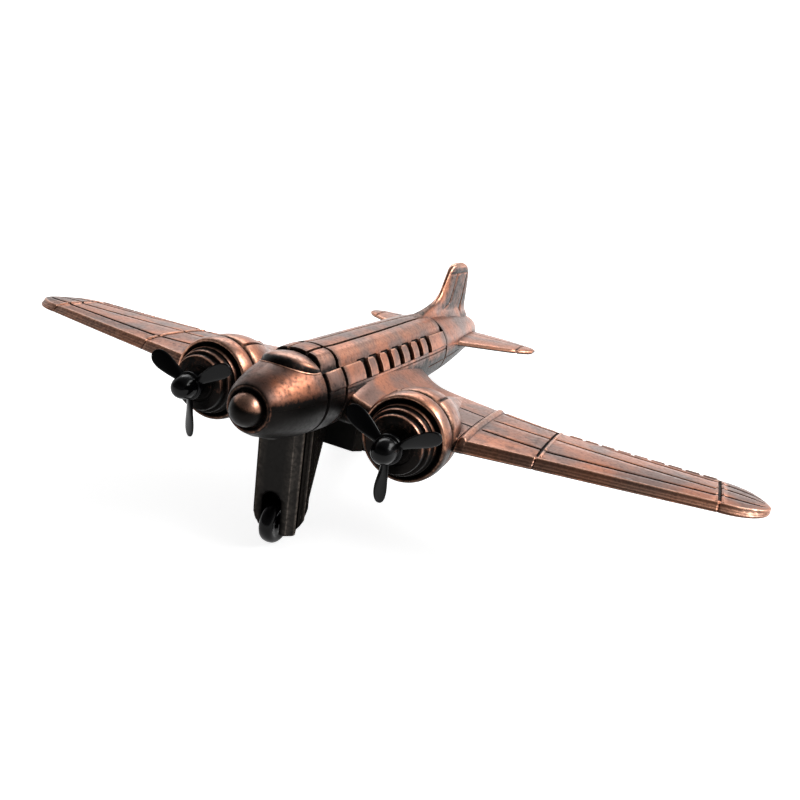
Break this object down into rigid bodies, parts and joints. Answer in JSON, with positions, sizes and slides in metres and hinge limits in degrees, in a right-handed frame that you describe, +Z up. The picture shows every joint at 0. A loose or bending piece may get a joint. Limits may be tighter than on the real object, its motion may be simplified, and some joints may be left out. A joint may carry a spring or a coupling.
{
  "type": "airliner pencil sharpener miniature",
  "caption": "Die-cast desk model of a twin-engine propeller airliner with turning propellers, a rolling nose wheel and a pencil sharpener under the belly.",
  "frame": {"origin": "on the table, under the centre of the model's outline, as it stands on its nose wheel and on the sharpener's rear edge", "axes": "+X towards the port wing tip, -Y towards the nose, +Z up; the airframe is pitched 12.1 degrees nose-up"},
  "size_m": [0.12, 0.0848, 0.0281],
  "materials": {
    "copper": "antique copper plating on a zinc casting, rubbed bright on raised edges and dark in the grooves",
    "dark_copper": "the same plating left nearly black, satin",
    "black_plastic": "glossy black moulded plastic",
    "steel": "plain steel of blade, pins and screws"
  },
  "bodies": {
    "airframe": {"fuselage_upper": "copper", "nose_lower": "dark_copper", "wing_centre": "copper", "tail_lower": "dark_copper", "nose_cap": "copper", "tailplane": "copper", "outer_wing_port": "copper", "outer_wing_starboard": "copper", "front_leg": "dark_copper", "wheel_axle": "steel", "sharpener_body": "dark_copper", "sharpener_blade": "steel", "blade_screw": "steel", "sharpener_screw": "steel", "nose_screw": "steel", "tail_screw": "steel", "leg_screw": "steel", "cowl_ring_port": "copper", "cowl_ring_starboard": "copper", "engine_port": "dark_copper", "engine_starboard": "dark_copper", "propeller_pin_port": "steel", "propeller_pin_starboard": "steel"},
    "propeller_port": {"propeller_port": "black_plastic"},
    "propeller_starboard": {"propeller_starboard": "black_plastic"},
    "nose_wheel": {"nose_wheel": "black_plastic"}
  },
  "joints": [
    {"name": "propeller_port_spin", "type": "hinge", "parent": "airframe", "child": "propeller_port", "pos_m": [0.0151, -0.03173, 0.01898], "axis": [0, 0.9778, -0.2095], "continuous": true},
    {"name": "propeller_starboard_spin", "type": "hinge", "parent": "airframe", "child": "propeller_starboard", "pos_m": [-0.0151, -0.03173, 0.01898], "axis": [0, 0.9778, -0.2095], "continuous": true},
    {"name": "nose_wheel_roll", "type": "hinge", "parent": "airframe", "child": "nose_wheel", "pos_m": [0, -0.03348, 0.0032], "axis": [1, 0, 0], "continuous": true}
  ]
}
